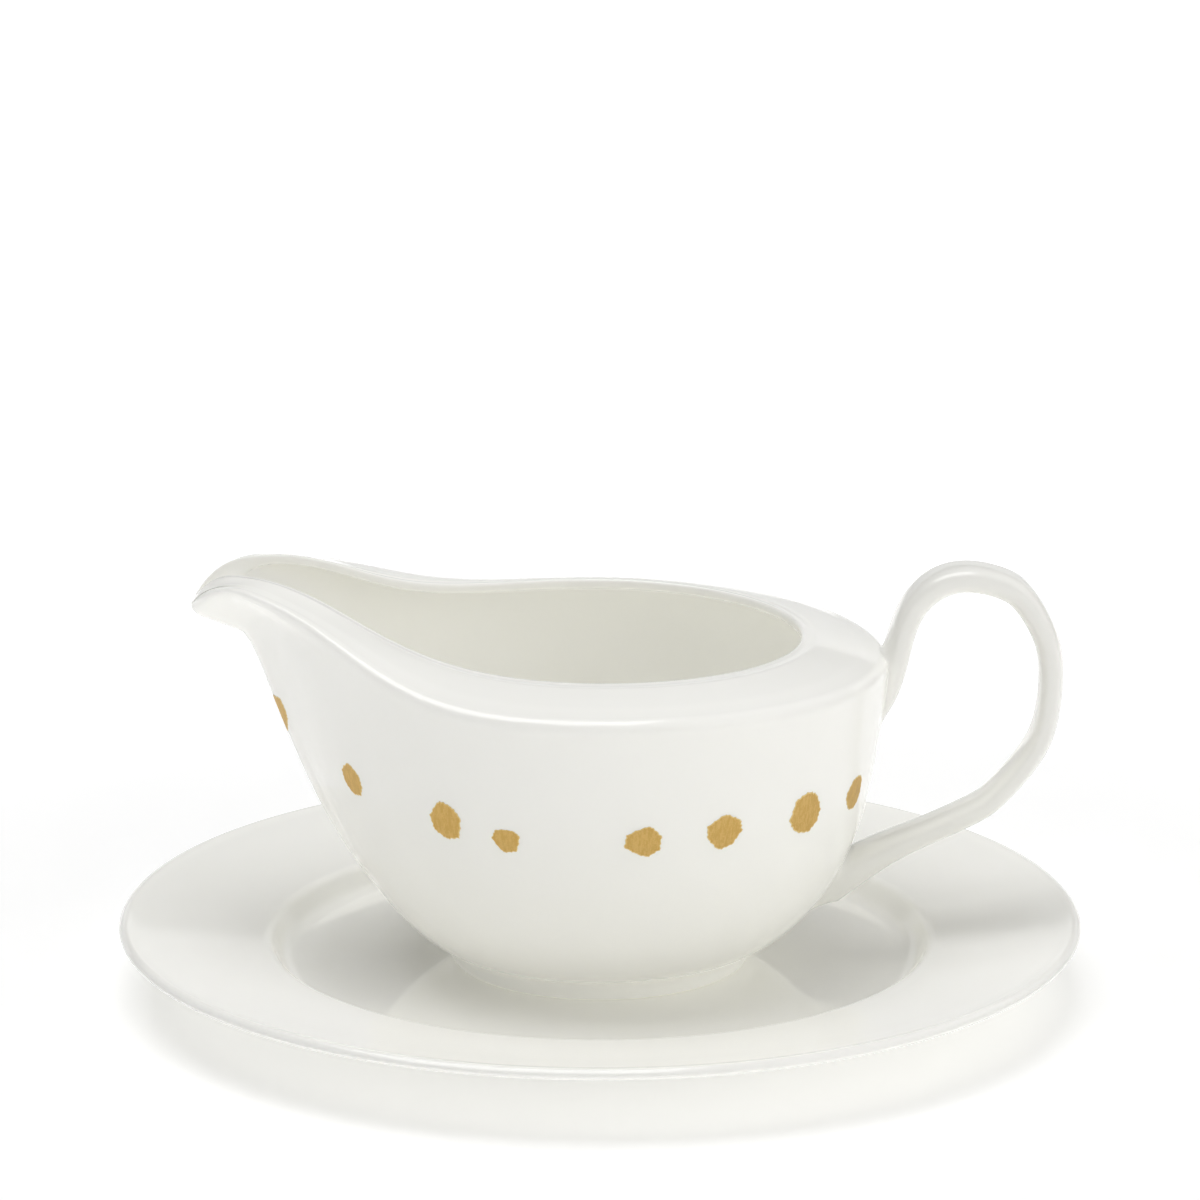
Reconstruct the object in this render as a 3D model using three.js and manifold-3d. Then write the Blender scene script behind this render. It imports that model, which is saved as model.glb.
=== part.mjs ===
// Gravy boat standing loose on its saucer, in millimetres, +Z up.
// The origin is the centre of the saucer's foot, on the table. The spout points along -X
// and the handle along +X. Plan angles are measured from the handle, counter-clockwise.
import * as THREE from 'three';
import { mergeVertices } from 'three/addons/utils/BufferGeometryUtils.js';
import Module from 'manifold-3d';

// ---- Driving dimensions ----

const clearance = 0.3; // between pieces that are luted or stand on each other

// Saucer
const saucerRadius = 110;
const saucerFloor = 6.5; // top of the well's floor above the table
const floorThickness = 3.1;
const wellRadius = 75.4; // where the well's wall turns into the rim
const wellDepth = 5.7;
const wellWallRun = 3; // how far the well's wall leans
const rimRise = 4.8; // from the well's edge to the lip
const lipThickness = 2.6;
const saucerFootInset = 11.4; // of the foot's outer side from the well's edge
const saucerFootWidth = 3.4;

// Bowl of the boat; heights are above the saucer's floor
const bowlRadius = 65.6; // at the keel, the outer edge of the shoulder
const bowlHeight = 73; // of the keel at the sides
const bowlFootRadius = 34.5;
const bowlFootHeight = 4.6;
const wall = 2.4;
const openingRadius = 45.5;
const shoulderSlope = 0.2; // rise of the shoulder for each millimetre inward
const keelRound = 2.2;
const lipRound = 0.9;
const backDrop = 1.4; // the keel sinks this much towards the handle
const bellyFullness = 3.6; // how soon the flank turns up from the foot
const bellyTuck = 0.66; // how squarely it leaves the foot
const flankLean = 0.24; // share of the flank's run that is a straight lean

// Spout
const spoutReach = 93; // of the tip from the bowl's axis
const spoutRise = 18.5; // of the keel, before the tip droops
const spoutDroop = 9.3;
const spoutFlare = 11.5; // the last, flat part of the reach, which turns outward as a pouring lip
const spoutLip = 2; // from the tip back to the opening's front end
const sweepMiddle = 0.839; // share of the bowl's radius where the keel is half-way up its sweep
const sweepLength = 9.6;
const droopLength = 15;
const spoutFade = 20; // degrees over which the spout melts into the bowl
const flareFade = 16;
const channelFade = 15.5;

// Foot ring of the boat
const footRingTaper = 0.7; // it is narrower by this at the bottom
const footRingWidth = 2.6;

// Handle, a strap in the plane of the spout
const strapWidth = 12.5;
const strapThickness = 5.2;
const handleStandOff = 36.6; // of the strap's middle line beyond the bowl's radius
const handleRise = 16.7; // of the same line above the keel

// Gold spots
const spotShare = 0.598; // height of the row, as a share of the flank's height
const spotSize = 7.4;
const spotThickness = 0.3;
const spotGap = 0.25;

// ---- Small helpers ----

const radians = THREE.MathUtils.degToRad;
const lerp = THREE.MathUtils.lerp;
const smoothstep = THREE.MathUtils.smoothstep;

function material(color, roughness, metalness = 0) {
  return new THREE.MeshStandardMaterial({ color, roughness, metalness });
}

const china = material(0xf1f1ec, 0.16);
const bareChina = material(0xe9e7dc, 0.55);
const gold = material(0xc9a35a, 0.38, 0.85);

function meshOf(name, geometry, finish) {
  const mesh = new THREE.Mesh(geometry, finish);
  mesh.name = name;
  return mesh;
}

// Skins a stack of closed rings of points, from the first to the last. Each end is closed
// by a fan about the middle of its ring.
function skin(rings) {
  const around = rings[0].length;
  const points = rings.flat();
  const triangles = [];
  for (let i = 0; i + 1 < rings.length; i++) {
    for (let j = 0; j < around; j++) {
      const a = i * around + j;
      const b = i * around + ((j + 1) % around);
      triangles.push(a, b, b + around, a, b + around, a + around);
    }
  }
  for (const last of [false, true]) {
    const ring = last ? rings[rings.length - 1] : rings[0];
    const start = last ? (rings.length - 1) * around : 0;
    const centre = ring.reduce((sum, p) => sum.add(p), new THREE.Vector3()).divideScalar(around);
    const hub = points.push(centre) - 1;
    for (let j = 0; j < around; j++) {
      const a = start + j;
      const b = start + ((j + 1) % around);
      triangles.push(...(last ? [a, b, hub] : [b, a, hub]));
    }
  }
  const geometry = new THREE.BufferGeometry().setFromPoints(points);
  geometry.setIndex(triangles);
  return geometry;
}

// ---- Solids that cut each other ----

const wasm = await Module();
wasm.setup();

function toSolid(geometry) {
  const bare = geometry.clone();
  bare.deleteAttribute('normal');
  bare.deleteAttribute('uv');
  const merged = mergeVertices(bare, 1e-4);
  const vertProperties = new Float32Array(merged.attributes.position.array);
  const triVerts = new Uint32Array(merged.index.array);
  return new wasm.Manifold(new wasm.Mesh({ numProp: 3, vertProperties, triVerts }));
}

function fromSolid(solid) {
  const mesh = solid.getMesh();
  const geometry = new THREE.BufferGeometry();
  geometry.setAttribute('position', new THREE.BufferAttribute(mesh.vertProperties, 3));
  geometry.setIndex(new THREE.BufferAttribute(mesh.triVerts, 1));
  return geometry;
}

// ---- Saucer ----

function saucerGeometry() {
  const wellEdge = saucerFloor + wellDepth;
  const lipTop = wellEdge + rimRise;
  const under = saucerFloor - floorThickness;
  const footOuter = wellRadius - saucerFootInset;
  const footInner = footOuter - saucerFootWidth;
  const wallFoot = wellRadius - wellWallRun;
  const profile = [
    [0, under],
    [footInner - 1, under],
    [footInner - 0.2, under - 0.8],
    [footInner + 0.3, 0.4],
    [footInner + 0.7, 0],
    [footOuter - 0.7, 0],
    [footOuter - 0.3, 0.4],
    [footOuter + 0.4, under - 0.6],
    [footOuter + 1.6, under + 0.3],
    [wallFoot + 2, saucerFloor - 0.6],
    [wellRadius + 1.6, wellEdge - lipThickness - 0.4],
    [lerp(wellRadius, saucerRadius, 0.5), wellEdge + rimRise * 0.5 - lipThickness - 0.1],
    [saucerRadius - 2, lipTop - lipThickness],
    [saucerRadius - 0.6, lipTop - lipThickness + 0.5],
    [saucerRadius, lipTop - lipThickness / 2],
    [saucerRadius - 0.6, lipTop - 0.3],
    [saucerRadius - 1.8, lipTop],
    [saucerRadius - 3.2, lipTop - 0.35],
    [lerp(wellRadius, saucerRadius, 0.5), wellEdge + rimRise * 0.5 - 0.1],
    [wellRadius + 1, wellEdge + 0.1],
    [wellRadius, wellEdge - 0.15],
    [wellRadius - 0.8, wellEdge - 1.1],
    [wallFoot, saucerFloor + 1.4],
    [wallFoot - 1.2, saucerFloor + 0.4],
    [wallFoot - 3.6, saucerFloor],
    [0, saucerFloor],
  ];
  return new THREE.LatheGeometry(profile.map(([r, z]) => new THREE.Vector2(r, z)), 72).rotateX(Math.PI / 2);
}

// ---- Shape of the boat, by the plan angle from the handle ----

// How strongly the spout pulls at an angle: 1 at the tip, fading round the bowl.
function pull(fromTip, soft, fade) {
  return Math.exp(-(Math.hypot(fromTip, soft) - soft) / fade);
}

function degreesFromTip(angle) {
  return 180 - Math.abs(THREE.MathUtils.radToDeg(Math.atan2(Math.sin(angle), Math.cos(angle))));
}

// Plan radius of the flank at a share of its height.
function flankRadius(angle, share) {
  const fromTip = degreesFromTip(angle);
  const steadyReach = spoutReach - bowlRadius - spoutFlare;
  const steady = steadyReach * pull(fromTip, 6, spoutFade) * share ** 1.35;
  const flare = spoutFlare * Math.exp(-((fromTip / flareFade) ** 2)) * share ** 32;
  const run = bowlRadius - bowlFootRadius;
  const belly = (1 - (1 - share) ** bellyFullness) ** bellyTuck;
  return bowlFootRadius + run * lerp(belly, share, flankLean) + steady + flare;
}

// Side view of the keel: level at the back, sweeping up to the spout and drooping at its tip.
function sideHeight(x) {
  const sweep = spoutRise / (1 + Math.exp((x + bowlRadius * sweepMiddle) / sweepLength));
  const droopStart = spoutReach - droopLength;
  const droop = spoutDroop * (Math.max(0, -x - droopStart) / droopLength) ** 3;
  const back = backDrop * (Math.max(0, x) / bowlRadius) ** 2;
  return bowlHeight + sweep - droop - back;
}

function polar(radius, angle, height) {
  return new THREE.Vector3(radius * Math.cos(angle), radius * Math.sin(angle), saucerFloor + height);
}

function keelPoint(angle) {
  const radius = flankRadius(angle, 1);
  return polar(radius, angle, sideHeight(radius * Math.cos(angle)));
}

function openingPoint(angle) {
  const channel = spoutReach - spoutLip - openingRadius;
  const reach = channel * pull(degreesFromTip(angle), 2.5, channelFade);
  const radius = openingRadius + reach;
  const shoulder = flankRadius(angle, 1) - radius;
  return polar(radius, angle, sideHeight(radius * Math.cos(angle)) + shoulder * shoulderSlope);
}

function flankPoint(angle, share) {
  const top = keelPoint(angle).z - saucerFloor;
  return polar(flankRadius(angle, share), angle, lerp(bowlFootHeight, top, share));
}

// Outward normal of the flank, from its two tangents.
function flankNormal(angle, share) {
  const step = 1e-3;
  const along = flankPoint(angle + step, share).sub(flankPoint(angle - step, share));
  const low = Math.max(share - step, 0);
  const up = flankPoint(angle, Math.min(share + step, 1)).sub(flankPoint(angle, low));
  return along.cross(up).normalize();
}

// The angles of the loft's sections, closer together round the spout.
function sectionAngles(count) {
  return Array.from({ length: count }, (_, i) => {
    const even = (2 * Math.PI * i) / count;
    return even + 0.55 * Math.sin(even);
  });
}

function quarterRound(before, corner, after, radius, steps) {
  const from = corner.clone().lerp(before, Math.min(radius / corner.distanceTo(before), 0.45));
  const to = corner.clone().lerp(after, Math.min(radius / corner.distanceTo(after), 0.45));
  return new THREE.QuadraticBezierCurve3(from, corner, to).getPoints(steps);
}

// One section through the wall, from the middle of the foot outside to the middle inside.
function bowlSection(angle) {
  const outside = [0.06, 0.16, 0.3, 0.46, 0.62, 0.76, 0.87, 0.94, 0.98];
  const keel = flankPoint(angle, 1);
  const edge = openingPoint(angle);
  const flankTop = flankPoint(angle, 0.94);
  const shoulder = Math.max(keel.distanceTo(edge), 0.1);
  const lip = wall * (1 - Math.exp(-shoulder / 4));
  const edgeUnder = edge.clone().addScaledVector(new THREE.Vector3(0, 0, -1), lip);
  const innerShare = 1 - wall / (keel.z - saucerFloor - bowlFootHeight);
  const innerFlank = (share) => {
    const s = share * innerShare;
    return flankPoint(angle, s).addScaledVector(flankNormal(angle, s), -wall);
  };
  const corner = innerFlank(1);
  return [
    polar(bowlFootRadius * 0.5, angle, bowlFootHeight - 0.1),
    polar(bowlFootRadius, angle, bowlFootHeight),
    ...outside.map((share) => flankPoint(angle, share)),
    ...quarterRound(flankTop, keel, edge, keelRound, 3),
    ...quarterRound(keel, edge, edgeUnder, lipRound, 2),
    ...quarterRound(edge, edgeUnder, corner, lipRound, 2),
    corner,
    ...[0.96, 0.9, 0.8, 0.66, 0.5, 0.33, 0.18, 0.07].map(innerFlank),
    polar(bowlFootRadius - wall, angle, bowlFootHeight + wall),
    polar(bowlFootRadius * 0.5, angle, bowlFootHeight + wall - 0.2),
  ];
}

function bowlGeometry() {
  const sections = sectionAngles(72).map(bowlSection);
  const rings = sections[0].map((_, i) => sections.map((section) => section[i]));
  return skin(rings);
}

// The space the bowl takes, grown by a clearance and closed over its top.
function bowlEnvelope(grow) {
  const shares = [0, 0.06, 0.16, 0.3, 0.46, 0.62, 0.76, 0.87, 0.94, 0.98, 1];
  const angles = sectionAngles(72);
  const grown = (angle, share) => flankPoint(angle, share).addScaledVector(flankNormal(angle, share), grow);
  const rings = shares.map((share) => angles.map((angle) => grown(angle, share)));
  const up = new THREE.Vector3(0, 0, grow);
  rings.push(angles.map((angle) => keelPoint(angle).add(up)));
  rings.push(angles.map((angle) => openingPoint(angle).add(up)));
  return skin(rings);
}

// ---- Foot ring of the boat ----

function footRingGeometry() {
  const top = bowlFootHeight - 0.1 - clearance;
  const bottomRadius = bowlFootRadius - footRingTaper;
  const profile = [
    [bottomRadius - footRingWidth, clearance + 0.5],
    [bottomRadius - footRingWidth + 0.6, clearance],
    [bottomRadius - 0.6, clearance],
    [bottomRadius, clearance + 0.5],
    [bowlFootRadius - 0.1, top],
    [bowlFootRadius - footRingWidth - 1, top],
    [bottomRadius - footRingWidth, clearance + 0.5],
  ];
  const points = profile.map(([r, z]) => new THREE.Vector2(r, z + saucerFloor));
  return new THREE.LatheGeometry(points, 72).rotateX(Math.PI / 2);
}

// ---- Handle ----

// The strap's middle line in the XZ plane, from inside the upper root to inside the lower one.
// The last points are heights as shares of the flank's, and stand off the flank at that height.
function handlePath() {
  const r = bowlRadius;
  const h = bowlHeight;
  const reach = bowlRadius + handleStandOff;
  const top = bowlHeight + handleRise;
  const grip = top - bowlHeight * 0.68; // where the strap turns in to the lower root
  const offFlank = (share, out) => {
    const foot = flankPoint(0, share);
    return [foot.x + out, foot.z - saucerFloor];
  };
  const points = [
    [r - 6.5, h - 18],
    [r - 1.2, h - 9.5],
    [r + 1.6, h - 0.5],
    [r + 4.2, h + 8.2],
    [r + 9.7, top - 2.1],
    [lerp(r, reach, 0.47), top],
    [lerp(r, reach, 0.68), top - 1.5],
    [lerp(r, reach, 0.84), top - 5.6],
    [reach - 1, top - 15],
    [reach, lerp(top, grip, 0.49)],
    [reach - 0.9, lerp(top, grip, 0.665)],
    [reach - 4, lerp(top, grip, 0.832)],
    [reach - 11.1, grip - 0.6],
    offFlank(0.448, handleStandOff * 0.69),
    offFlank(0.374, handleStandOff * 0.456),
    offFlank(0.309, 9),
    offFlank(0.234, 3.2),
    offFlank(0.149, -1.8),
  ];
  return new THREE.CatmullRomCurve3(points.map(([x, z]) => new THREE.Vector3(x, 0, saucerFloor + z)));
}

function handleGeometry() {
  const path = handlePath();
  const steps = 34;
  const sides = 14;
  const rings = [];
  for (let i = 0; i <= steps; i++) {
    const t = i / steps;
    const middle = path.getPointAt(t);
    const tangent = path.getTangentAt(t);
    const outward = new THREE.Vector3(-tangent.z, 0, tangent.x);
    const upperRoot = 1 - smoothstep(t, 0.04, 0.2);
    const lowerRoot = smoothstep(t, 0.8, 1);
    const halfWidth = (strapWidth / 2) * (1 + 0.2 * upperRoot + 0.3 * lowerRoot);
    const halfThickness = (strapThickness / 2) * (1 + 0.25 * upperRoot + 0.7 * lowerRoot);
    const ring = [];
    for (let j = 0; j < sides; j++) {
      const turn = (2 * Math.PI * j) / sides;
      const across = Math.sign(Math.cos(turn)) * Math.abs(Math.cos(turn)) ** 0.8 * halfWidth;
      const out = Math.sign(Math.sin(turn)) * Math.abs(Math.sin(turn)) ** 0.8 * halfThickness;
      ring.push(middle.clone().addScaledVector(outward, out).add(new THREE.Vector3(0, across, 0)));
    }
    rings.push(ring);
  }
  const whole = toSolid(skin(rings));
  const cut = whole.subtract(toSolid(bowlEnvelope(clearance)));
  const pieces = cut.decompose().sort((a, b) => b.volume() - a.volume());
  return fromSolid(pieces[0]);
}

// ---- Gold spots ----

// A ragged blob of gold that lies on the flank, as a thin solid. Its height is above the row.
function spotGeometry(angle, rise, size, seed) {
  const corners = 14;
  const radiusAt = flankRadius(angle, 0.6);
  const top = keelPoint(angle).z - saucerFloor - bowlFootHeight;
  const share = (spotShare * (bowlHeight - bowlFootHeight) + rise) / top;
  const ring = (scale, lift) => {
    const points = [];
    for (let j = 0; j < corners; j++) {
      const turn = (2 * Math.PI * j) / corners;
      const ragged = 1 + 0.07 * Math.sin(3 * turn + seed) + 0.05 * Math.sin(5 * turn + 2.1 * seed);
      const reach = (scale * ragged * size) / 2;
      const a = angle + (reach * Math.cos(turn)) / radiusAt;
      const s = share + (reach * Math.sin(turn)) / top;
      points.push(flankPoint(a, s).addScaledVector(flankNormal(a, s), lift));
    }
    return points;
  };
  const outer = spotGap + spotThickness;
  return skin([ring(0.5, spotGap), ring(1, spotGap), ring(1, outer), ring(0.5, outer)]);
}

// Plan angle in degrees from the handle, height above the row and share of the usual size.
const spots = [
  [-24.5, 0.6, 1.15],
  [-43.5, 1, 1.3],
  [-64.5, 0.6, 1.12],
  [-81, 0.4, 1.08],
  [-109.4, 0, 0.86],
  [-122.5, 2, 1.12],
  [-149, 6, 1.05],
  [-178, 12.5, 1.05],
  [158, 8, 0.85],
  [137, 4, 1.1],
  [112, 1, 0.95],
  [92, 0, 1.15],
  [68, 0.4, 0.8],
  [47, 0, 1.1],
  [24, 0, 0.95],
];

// ---- Assembly ----

const boat = new THREE.Group();
boat.add(meshOf('boat_bowl', bowlGeometry(), china));
boat.add(meshOf('boat_foot_ring', footRingGeometry(), bareChina));
boat.add(meshOf('boat_handle', handleGeometry(), china));
spots.forEach(([degrees, rise, share], i) => {
  const name = `gold_spot_${String(i + 1).padStart(2, '0')}`;
  const angle = radians(degrees);
  boat.add(meshOf(name, spotGeometry(angle, rise, spotSize * share, i * 1.7), gold));
});

const group = new THREE.Group();
group.add(meshOf('saucer', saucerGeometry(), china));
group.add(boat);

export default group;
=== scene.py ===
import math

import bmesh
import bpy
import numpy as np
from bpy.props import FloatProperty, FloatVectorProperty, IntProperty, PointerProperty
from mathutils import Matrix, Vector
from mathutils.bvhtree import BVHTree


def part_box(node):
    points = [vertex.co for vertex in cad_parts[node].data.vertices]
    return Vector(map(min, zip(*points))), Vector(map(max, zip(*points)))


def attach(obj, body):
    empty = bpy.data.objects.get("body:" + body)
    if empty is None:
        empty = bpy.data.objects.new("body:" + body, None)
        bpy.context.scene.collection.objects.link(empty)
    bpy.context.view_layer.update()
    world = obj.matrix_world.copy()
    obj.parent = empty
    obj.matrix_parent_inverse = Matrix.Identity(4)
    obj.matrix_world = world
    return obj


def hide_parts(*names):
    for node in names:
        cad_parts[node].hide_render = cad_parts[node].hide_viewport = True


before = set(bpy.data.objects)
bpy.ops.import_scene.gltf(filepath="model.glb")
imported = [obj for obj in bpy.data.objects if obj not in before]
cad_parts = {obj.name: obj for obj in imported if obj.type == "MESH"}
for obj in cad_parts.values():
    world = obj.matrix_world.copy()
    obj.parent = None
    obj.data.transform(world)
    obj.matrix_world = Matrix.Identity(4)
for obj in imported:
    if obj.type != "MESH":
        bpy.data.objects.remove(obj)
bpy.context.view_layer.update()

bl_info = {
    "name": "Gravy boat on its saucer",
    "version": (1, 0, 0),
    "blender": (4, 5, 0),
    "location": "View3D > Sidebar > Gravy boat",
    "description": "Makes a bone china gravy boat with gold spots, its saucer and a pale studio",
    "category": "Object",
}

MM = 0.001
SAUCER_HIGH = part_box("saucer")[1]
FOOT_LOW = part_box("boat_foot_ring")[0]
SPOT_NODES = sorted(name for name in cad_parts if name.startswith("gold_spot_"))
JOINT_GAP = 0.3 * MM  # left by the CAD between pieces that touch
SAME_PLACE = 1e-6
TINY = 1e-9


# ---- Sizes and colours that a user would change ----


def size(name, description, default):
    """A length in metres."""
    return FloatProperty(name=name, description=description, default=default, unit="LENGTH", precision=5)


def colour(name, description, default):
    return FloatVectorProperty(
        name=name, description=description, default=default, subtype="COLOR", size=3, min=0, max=1
    )


def factor(name, description, default):
    return FloatProperty(name=name, description=description, default=default, subtype="FACTOR", min=0, max=1)


def angle_setting(name, description, degrees):
    return FloatProperty(name=name, description=description, default=math.radians(degrees), subtype="ANGLE")


def number(name, description, default):
    return FloatProperty(name=name, description=description, default=default)


class SaucerSizes(bpy.types.PropertyGroup):
    radius: size("Radius", "Outer radius of the saucer", SAUCER_HIGH.x)
    height: size("Height", "Height of the lip above the table", SAUCER_HIGH.z)
    floor: size("Floor height", "Top of the well's floor above the table", FOOT_LOW.z - JOINT_GAP)
    floor_thickness: size("Floor thickness", "Thickness of the well's floor", 3.1 * MM)
    well_radius: size("Well radius", "Where the well's wall turns into the rim", 75.4 * MM)
    well_depth: size("Well depth", "Depth of the well below its edge", 5.7 * MM)
    well_wall_run: size("Well wall run", "How far the well's wall leans", 3.0 * MM)
    lip_thickness: size("Lip thickness", "Thickness of the rim at its lip", 2.6 * MM)
    foot_radius: size("Foot radius", "Outer radius of the foot ring under the saucer", 64.0 * MM)
    foot_width: size("Foot width", "Width of the foot ring under the saucer", 3.4 * MM)


class BoatSizes(bpy.types.PropertyGroup):
    bowl_radius: size("Bowl radius", "Radius of the bowl at the outer edge of its shoulder", 65.6 * MM)
    bowl_height: size("Bowl height", "Height of the shoulder's edge above the saucer's floor", 73.0 * MM)
    foot_radius: size("Foot radius", "Radius where the bowl meets its foot ring", 34.5 * MM)
    foot_height: size("Foot height", "Height of the bowl's underside above the saucer's floor", 4.6 * MM)
    foot_bottom_radius: size("Foot bottom radius", "Outer radius of the foot ring at the bottom", 33.8 * MM)
    foot_width: size("Foot width", "Width of the foot ring", 2.6 * MM)
    wall: size("Wall", "Thickness of the cast wall", 2.4 * MM)
    opening_radius: size("Opening radius", "Radius of the opening", 45.5 * MM)
    shoulder_slope: number("Shoulder slope", "Rise of the shoulder per unit inward", 0.2)
    shoulder_crown: size("Shoulder crown", "How much the shoulder swells between its edges", 0.35 * MM)
    edge_round: size("Edge rounding", "Rounding of the shoulder's outer edge", 3.0 * MM)
    lip_round: size("Lip rounding", "Rounding of the opening's edge", 1.0 * MM)
    back_drop: size("Back drop", "How much the shoulder sinks towards the handle", 1.4 * MM)
    spout_reach: size("Spout reach", "Reach of the spout's tip from the bowl's axis", 93.0 * MM)
    spout_rise: size("Spout rise", "Rise of the edge towards the spout", 18.5 * MM)
    spout_droop: size("Spout droop", "Droop of the spout's tip", 9.3 * MM)
    spout_flare: size("Spout flare", "Flat pouring lip at the spout's end", 11.5 * MM)
    channel_reach: size("Channel reach", "Reach of the opening's front end", 91.0 * MM)


class HandleSizes(bpy.types.PropertyGroup):
    width: size("Strap width", "Width of the strap", 12.5 * MM)
    thickness: size("Strap thickness", "Thickness of the strap", 5.2 * MM)
    reach: size("Reach", "Reach of the strap's middle line from the bowl's axis", 102.2 * MM)
    top: size("Top", "Height of the strap's middle line above the saucer's floor", 89.7 * MM)
    upper_fillet: size("Upper fillet", "Luting fillet at the upper root", 1.3 * MM)
    lower_fillet: size("Lower fillet", "Luting fillet at the lower root", 5.2 * MM)


class SpotSizes(bpy.types.PropertyGroup):
    proud: size("Proud", "How far the fired gold stands out of the glaze", 0.07 * MM)
    ragged: factor("Raggedness", "How uneven the outlines are", 0.8)
    seed: IntProperty(name="Seed", description="Seed of the hand-dabbed outlines", default=7)


class ChinaLook(bpy.types.PropertyGroup):
    body: colour("China", "Colour of the glazed china", (0.955, 0.95, 0.905))
    pooled: colour("Pooled glaze", "Colour where the glaze is thicker", (0.94, 0.94, 0.89))
    bare: colour("Bare foot", "Colour of the ground foot", (0.92, 0.915, 0.85))
    gloss: factor("Glaze roughness", "Roughness of the glaze", 0.075)
    translucency: factor("Translucency", "How far light enters the china", 0.3)
    # Painted glow: the china gives off light of its own, in place of light seeping through thin china from
    # all round
    painted_glow: factor("Glow", "Light that seeps through thin china from all round", 0.08)
    gold: colour("Gold", "Colour of the matt burnished gold", (0.60, 0.38, 0.11))
    gold_thin: colour("Thin gold", "Colour at the edges, where china shows through", (0.93, 0.80, 0.42))
    gold_light: colour("Light gold", "Colour of its brushed streaks", (0.70, 0.48, 0.17))


class StudioLook(bpy.types.PropertyGroup):
    distance: size("Camera distance", "Distance of the camera from the saucer's rim", 1.2)
    elevation: angle_setting("Elevation", "How far the camera looks down on the saucer's rim", 17.85)
    headroom: angle_setting("Headroom", "How far above the saucer the camera aims", 3.39)
    lens: number("Lens", "Focal length on a 36 mm sensor, in mm", 156.8)
    surround: number("Surround", "Strength of the surround light", 0.45)
    floor_glow: number("Floor glow", "Light given off by the table's middle", 0.24)
    floor_far_glow: number("Far floor glow", "Light given off by the table round its middle", 0.62)
    front: number("Front light", "Power of the low softbox in front, in W", 0.6)
    overhead: number("Overhead light", "Power of the overhead softbox, in W", 17.0)
    side: number("Side light", "Power of the softbox beside the handle, in W", 4.0)


class GravyBoatSettings(bpy.types.PropertyGroup):
    saucer: PointerProperty(type=SaucerSizes)
    boat: PointerProperty(type=BoatSizes)
    handle: PointerProperty(type=HandleSizes)
    spots: PointerProperty(type=SpotSizes)
    look: PointerProperty(type=ChinaLook)
    studio: PointerProperty(type=StudioLook)


def settings():
    return bpy.context.scene.gravy_boat


# ---- Shader graphs ----

# Sockets of the Mix node, whose names repeat for each data type.
MIX_FACTOR = 0
MIX_FIRST_COLOUR = 6
MIX_SECOND_COLOUR = 7
MIX_RESULT_COLOUR = 2


class Value:
    """A shader socket that takes part in arithmetic."""

    def __init__(self, graph, socket):
        self.graph = graph
        self.socket = socket

    def math(self, operation, first, second):
        return self.graph.node("ShaderNodeMath", {"operation": operation}, {0: first, 1: second})

    def __add__(self, other):
        return self.math("ADD", self, other)

    def __rsub__(self, other):
        return self.math("SUBTRACT", other, self)

    def __mul__(self, other):
        return self.math("MULTIPLY", self, other)

    __rmul__ = __mul__


class Graph:
    """The node tree of a material or world, built from expressions."""

    def __init__(self, owner):
        owner.use_nodes = True
        self.owner = owner
        self.tree = owner.node_tree
        self.tree.nodes.clear()

    def node(self, kind, options=None, inputs=None, output=0):
        """Adds a node: its options are set first, then its sockets' values or links."""
        made = self.tree.nodes.new(kind)
        for key, value in (options or {}).items():
            setattr(made, key, value)
        for key, value in (inputs or {}).items():
            socket = made.inputs[key]
            if isinstance(value, Value):
                self.tree.links.new(value.socket, socket)
            else:
                socket.default_value = (*value, 1) if socket.type == "RGBA" else value
        return Value(self, made.outputs[output]) if made.outputs else None

    def place(self, scale=(1, 1, 1)):
        """The surface's own coordinates, in metres times scale."""
        where = self.node("ShaderNodeTexCoord", output="Object")
        return self.node("ShaderNodeMapping", {}, {"Vector": where, "Scale": scale})

    def noise(self, per_metre, detail, roughness=0.5, stretch=(1, 1, 1)):
        values = {"Vector": self.place(stretch), "Scale": per_metre, "Detail": detail, "Roughness": roughness}
        return self.node("ShaderNodeTexNoise", {}, values)

    def between(self, value, low, high, to_low=0.0, to_high=1.0):
        """Value from low..high, smoothly to to_low..to_high."""
        inputs = {"Value": value, "From Min": low, "From Max": high, "To Min": to_low, "To Max": to_high}
        return self.node("ShaderNodeMapRange", {"interpolation_type": "SMOOTHSTEP"}, inputs)

    def mix(self, amount, first, second):
        """A colour between two colours."""
        inputs = {MIX_FACTOR: amount, MIX_FIRST_COLOUR: first, MIX_SECOND_COLOUR: second}
        return self.node("ShaderNodeMix", {"data_type": "RGBA"}, inputs, MIX_RESULT_COLOUR)

    def bump(self, height, depth):
        """A normal from a height between 0 and 1, for a relief of that depth in metres."""
        return self.node("ShaderNodeBump", {}, {"Height": height, "Distance": depth, "Strength": 1.0})

    def finish(self, **values):
        """Closes the graph with one Principled shader. Underscores stand for spaces."""
        inputs = {key.replace("_", " "): value for key, value in values.items()}
        shader = self.node("ShaderNodeBsdfPrincipled", {}, inputs)
        self.node("ShaderNodeOutputMaterial", {}, {"Surface": shader})
        return self.owner


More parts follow.
